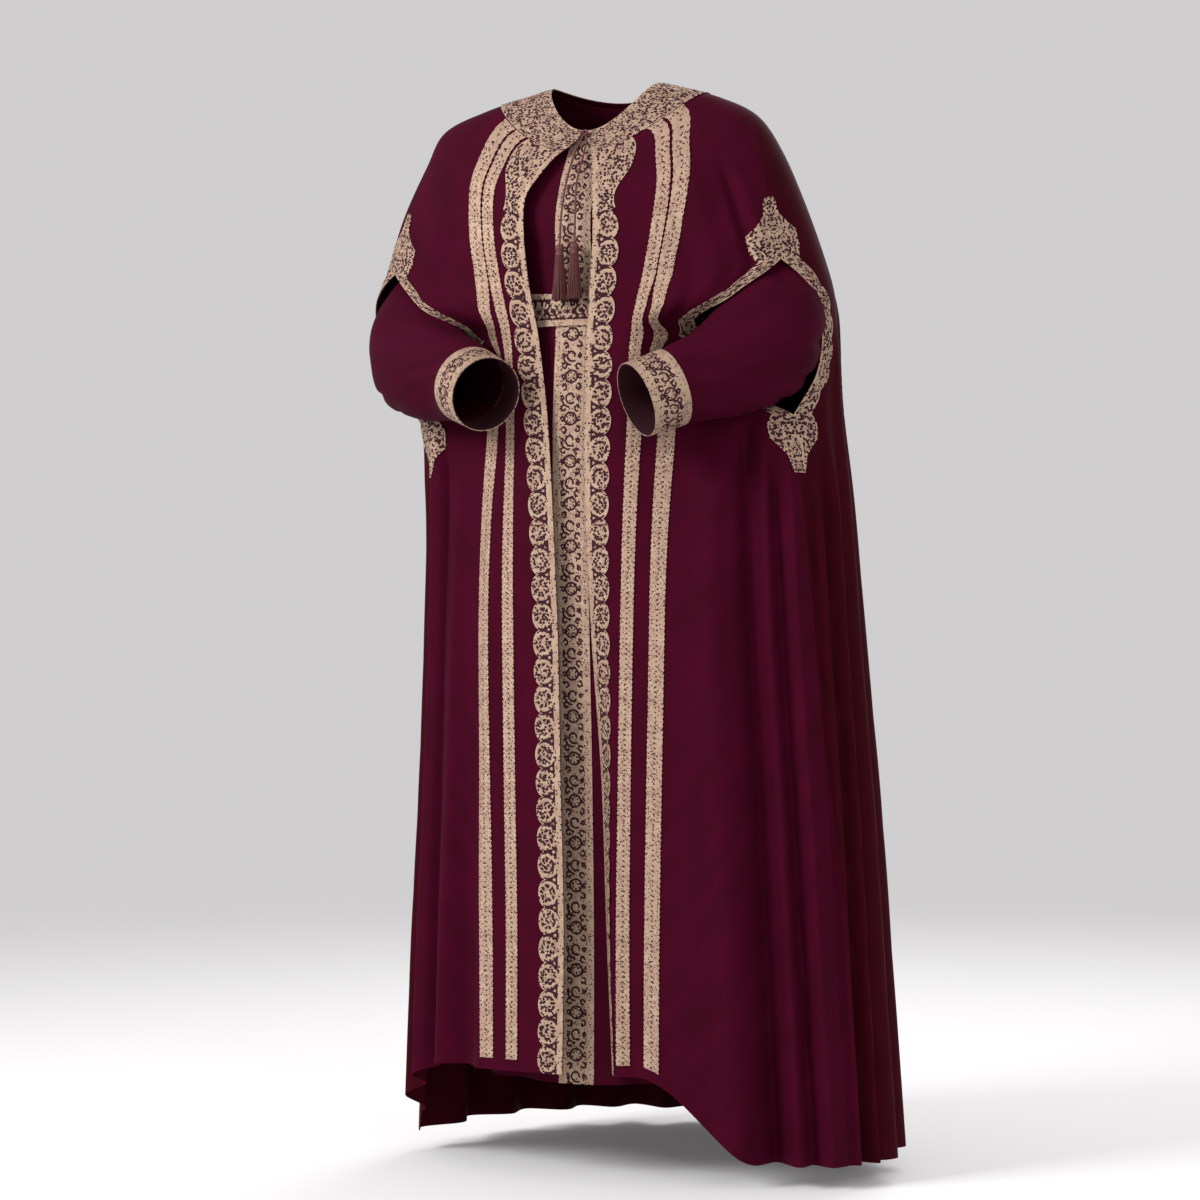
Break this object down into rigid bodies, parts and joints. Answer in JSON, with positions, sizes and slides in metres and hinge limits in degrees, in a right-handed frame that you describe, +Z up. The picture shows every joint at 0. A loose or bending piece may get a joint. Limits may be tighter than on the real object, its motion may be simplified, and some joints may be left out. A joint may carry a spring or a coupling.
{
  "type": "abaya",
  "caption": "Worn two-layer abaya: a long belted dress with embroidered placket and cuffs under an open cape with arm slits, a neck tie and scalloped lace front edges.",
  "frame": {"origin": "middle of the neck opening, level with the neck points of the shoulders", "axes": "+Z up, -Y the way the wearer faces, +X to the wearer's left"},
  "size_m": [0.7399, 0.637, 1.4396],
  "materials": {
    "cape_cloth": "fine crepe",
    "dress_cloth": "fine crepe",
    "gold_trim": "metallic-thread lace",
    "tie_silk": "silk cord"
  },
  "bodies": {
    "root": {"dress_front": "dress_cloth", "dress_back": "dress_cloth", "dress_placket": "gold_trim", "belt": "gold_trim", "cape_back": "cape_cloth", "cape_yoke_back": "gold_trim", "tie_knot": "tie_silk", "dress_sleeve_left": "dress_cloth", "dress_cuff_left": "gold_trim", "cape_front_left": "cape_cloth", "cape_yoke_left": "gold_trim", "cape_scallops_left": "gold_trim", "cape_braid_inner_left": "gold_trim", "cape_braid_outer_left": "gold_trim", "slit_trim_front_left": "gold_trim", "slit_trim_back_left": "gold_trim", "tie_cord_left": "tie_silk", "tie_tassel_left": "tie_silk", "dress_sleeve_right": "dress_cloth", "dress_cuff_right": "gold_trim", "cape_front_right": "cape_cloth", "cape_yoke_right": "gold_trim", "cape_scallops_right": "gold_trim", "cape_braid_inner_right": "gold_trim", "cape_braid_outer_right": "gold_trim", "slit_trim_front_right": "gold_trim", "slit_trim_back_right": "gold_trim", "tie_cord_right": "tie_silk", "tie_tassel_right": "tie_silk"}
  },
  "joints": []
}
